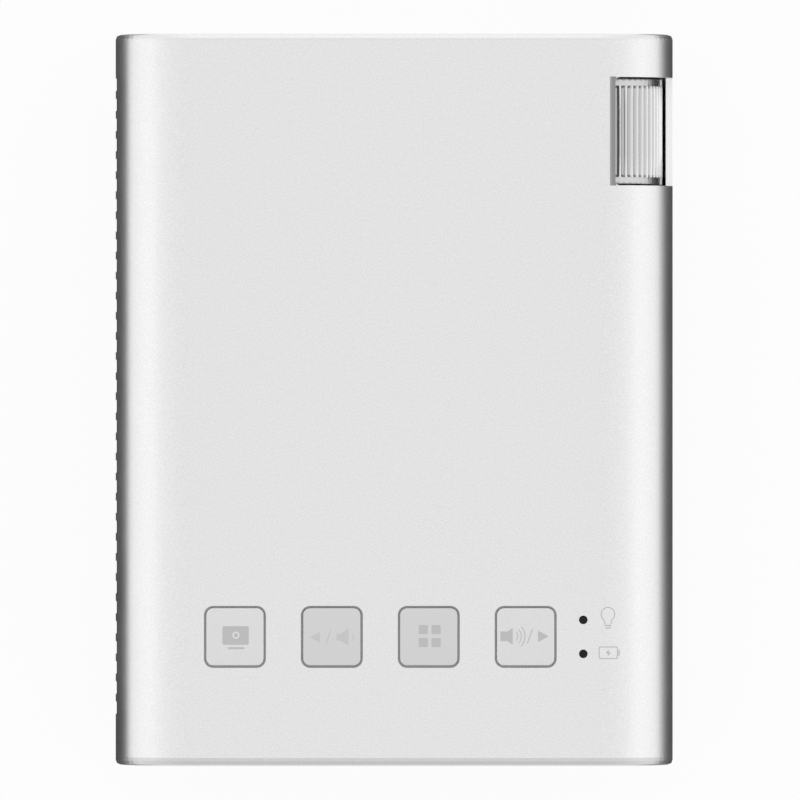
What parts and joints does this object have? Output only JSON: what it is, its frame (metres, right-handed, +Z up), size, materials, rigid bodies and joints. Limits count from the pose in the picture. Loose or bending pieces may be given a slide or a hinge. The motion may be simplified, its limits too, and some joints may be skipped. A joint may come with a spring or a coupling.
{
  "type": "pocket LED projector",
  "caption": "Flat pocket projector with rounded long sides, a row of square keys, a ribbed focus wheel at one edge and air slots along the other.",
  "frame": {"origin": "middle of the footprint, on the surface that the rubber feet stand on", "axes": "+X to the right side with the focus wheel, +Y to the lens side, +Z up"},
  "size_m": [0.084, 0.11, 0.029],
  "materials": {
    "case_silver": "satin silver paint on a moulded cover",
    "end_plate_silver": "satin silver paint, a shade darker than the covers",
    "key_silver": "satin silver keycap with a printed grey sign",
    "wheel_silver": "turned and ribbed, satin anodised",
    "black_plastic": "fine matt black moulding",
    "dark_plastic": "dark grey matt moulding",
    "smoked_window": "smoked clear plastic",
    "led_body": "white LED body",
    "circuit_board": "green solder mask",
    "chip_black": "black moulded package",
    "chip_ceramic": "grey ceramic package",
    "connector_ivory": "ivory moulding",
    "switch_metal": "plated sheet",
    "bright_steel": "plated sheet steel",
    "screw_steel": "zinc-plated screw",
    "engine_metal": "dark cast alloy",
    "bare_aluminium": "plain aluminium",
    "copper": "plain copper",
    "brass": "turned brass",
    "lens_glass": "coated optical glass",
    "dichroic_glass": "dichroic coating",
    "cell_wrap": "foil pouch",
    "ribbon": "flat white cable",
    "lead_red": "insulated wire",
    "lead_black": "insulated wire",
    "foot_rubber": "grey-black rubber"
  },
  "bodies": {
    "case": {"top_cover": "case_silver", "bottom_cover": "case_silver", "front_bezel": "end_plate_silver", "rear_panel": "end_plate_silver", "dust_screen": "black_plastic", "key_board": "circuit_board", "key_switches": "switch_metal", "light_pipes": "smoked_window", "indicator_leds": "led_body", "lens_mount": "engine_metal", "ring_retainer": "black_plastic", "lens_surround": "black_plastic", "engine_housing": "engine_metal", "engine_lid": "engine_metal", "prism_pair": "lens_glass", "mirror_chip": "chip_ceramic", "chip_board": "circuit_board", "green_led_board": "bare_aluminium", "red_blue_led_board": "bare_aluminium", "collimator_lenses": "lens_glass", "dichroic_mirror": "dichroic_glass", "fly_eye_lens": "lens_glass", "relay_lens": "lens_glass", "heat_sink": "bare_aluminium", "heat_spreader": "copper", "fan_frame": "black_plastic", "main_board": "circuit_board", "main_chips": "chip_black", "board_connectors": "connector_ivory", "hdmi_socket": "bright_steel", "usb_socket": "bright_steel", "dc_socket": "black_plastic", "audio_socket": "black_plastic", "power_switch": "switch_metal", "battery_cells": "cell_wrap", "battery_board": "circuit_board", "speaker": "black_plastic", "key_ribbon": "ribbon", "engine_ribbon": "ribbon", "fan_lead": "lead_red", "speaker_lead": "lead_black", "battery_lead": "lead_red", "hinge_pin": "bright_steel", "tripod_nut": "brass", "rubber_feet": "foot_rubber", "cover_screws": "screw_steel", "board_screws": "screw_steel", "engine_screws": "screw_steel"},
    "display_key": {"key_display": "key_silver"},
    "back_key": {"key_back": "key_silver"},
    "menu_key": {"key_menu": "key_silver"},
    "forward_key": {"key_forward": "key_silver"},
    "focus_wheel": {"focus_ring": "wheel_silver"},
    "lens": {"lens_barrel": "black_plastic", "front_lens": "lens_glass", "rear_lens": "lens_glass", "focus_pin": "brass"},
    "rotor": {"fan_rotor": "black_plastic"},
    "slider": {"power_slider": "black_plastic"},
    "prop": {"tilt_foot": "dark_plastic"}
  },
  "joints": [
    {"name": "display_key_press", "type": "slide", "parent": "case", "child": "display_key", "axis": [0, 0, -1], "range_m": [0, 0.00045], "stiffness_N_per_m": 1500},
    {"name": "back_key_press", "type": "slide", "parent": "case", "child": "back_key", "axis": [0, 0, -1], "range_m": [0, 0.00045], "stiffness_N_per_m": 1500},
    {"name": "menu_key_press", "type": "slide", "parent": "case", "child": "menu_key", "axis": [0, 0, -1], "range_m": [0, 0.00045], "stiffness_N_per_m": 1500},
    {"name": "forward_key_press", "type": "slide", "parent": "case", "child": "forward_key", "axis": [0, 0, -1], "range_m": [0, 0.00045], "stiffness_N_per_m": 1500},
    {"name": "focus_turn", "type": "hinge", "parent": "case", "child": "focus_wheel", "pos_m": [0.0284, 0.0403, 0.0149], "axis": [0, 1, 0], "range_deg": [-60, 60]},
    {"name": "lens_slide", "type": "slide", "parent": "case", "child": "lens", "axis": [0, 1, 0], "range_m": [-0.0012, 0.0012]},
    {"name": "fan_spin", "type": "hinge", "parent": "case", "child": "rotor", "pos_m": [-0.028, 0.0155, 0.0149], "axis": [1, 0, 0], "continuous": true},
    {"name": "power_slide", "type": "slide", "parent": "case", "child": "slider", "axis": [1, 0, 0], "range_m": [0, 0.0024]},
    {"name": "prop_fold", "type": "hinge", "parent": "case", "child": "prop", "pos_m": [-0.004, 0.0465, 0.00195], "axis": [1, 0, 0], "range_deg": [0, 95]}
  ],
  "couplings": [
    {"joint": "lens_slide", "follows": "focus_turn", "m_per_rad": 0.0011459}
  ]
}
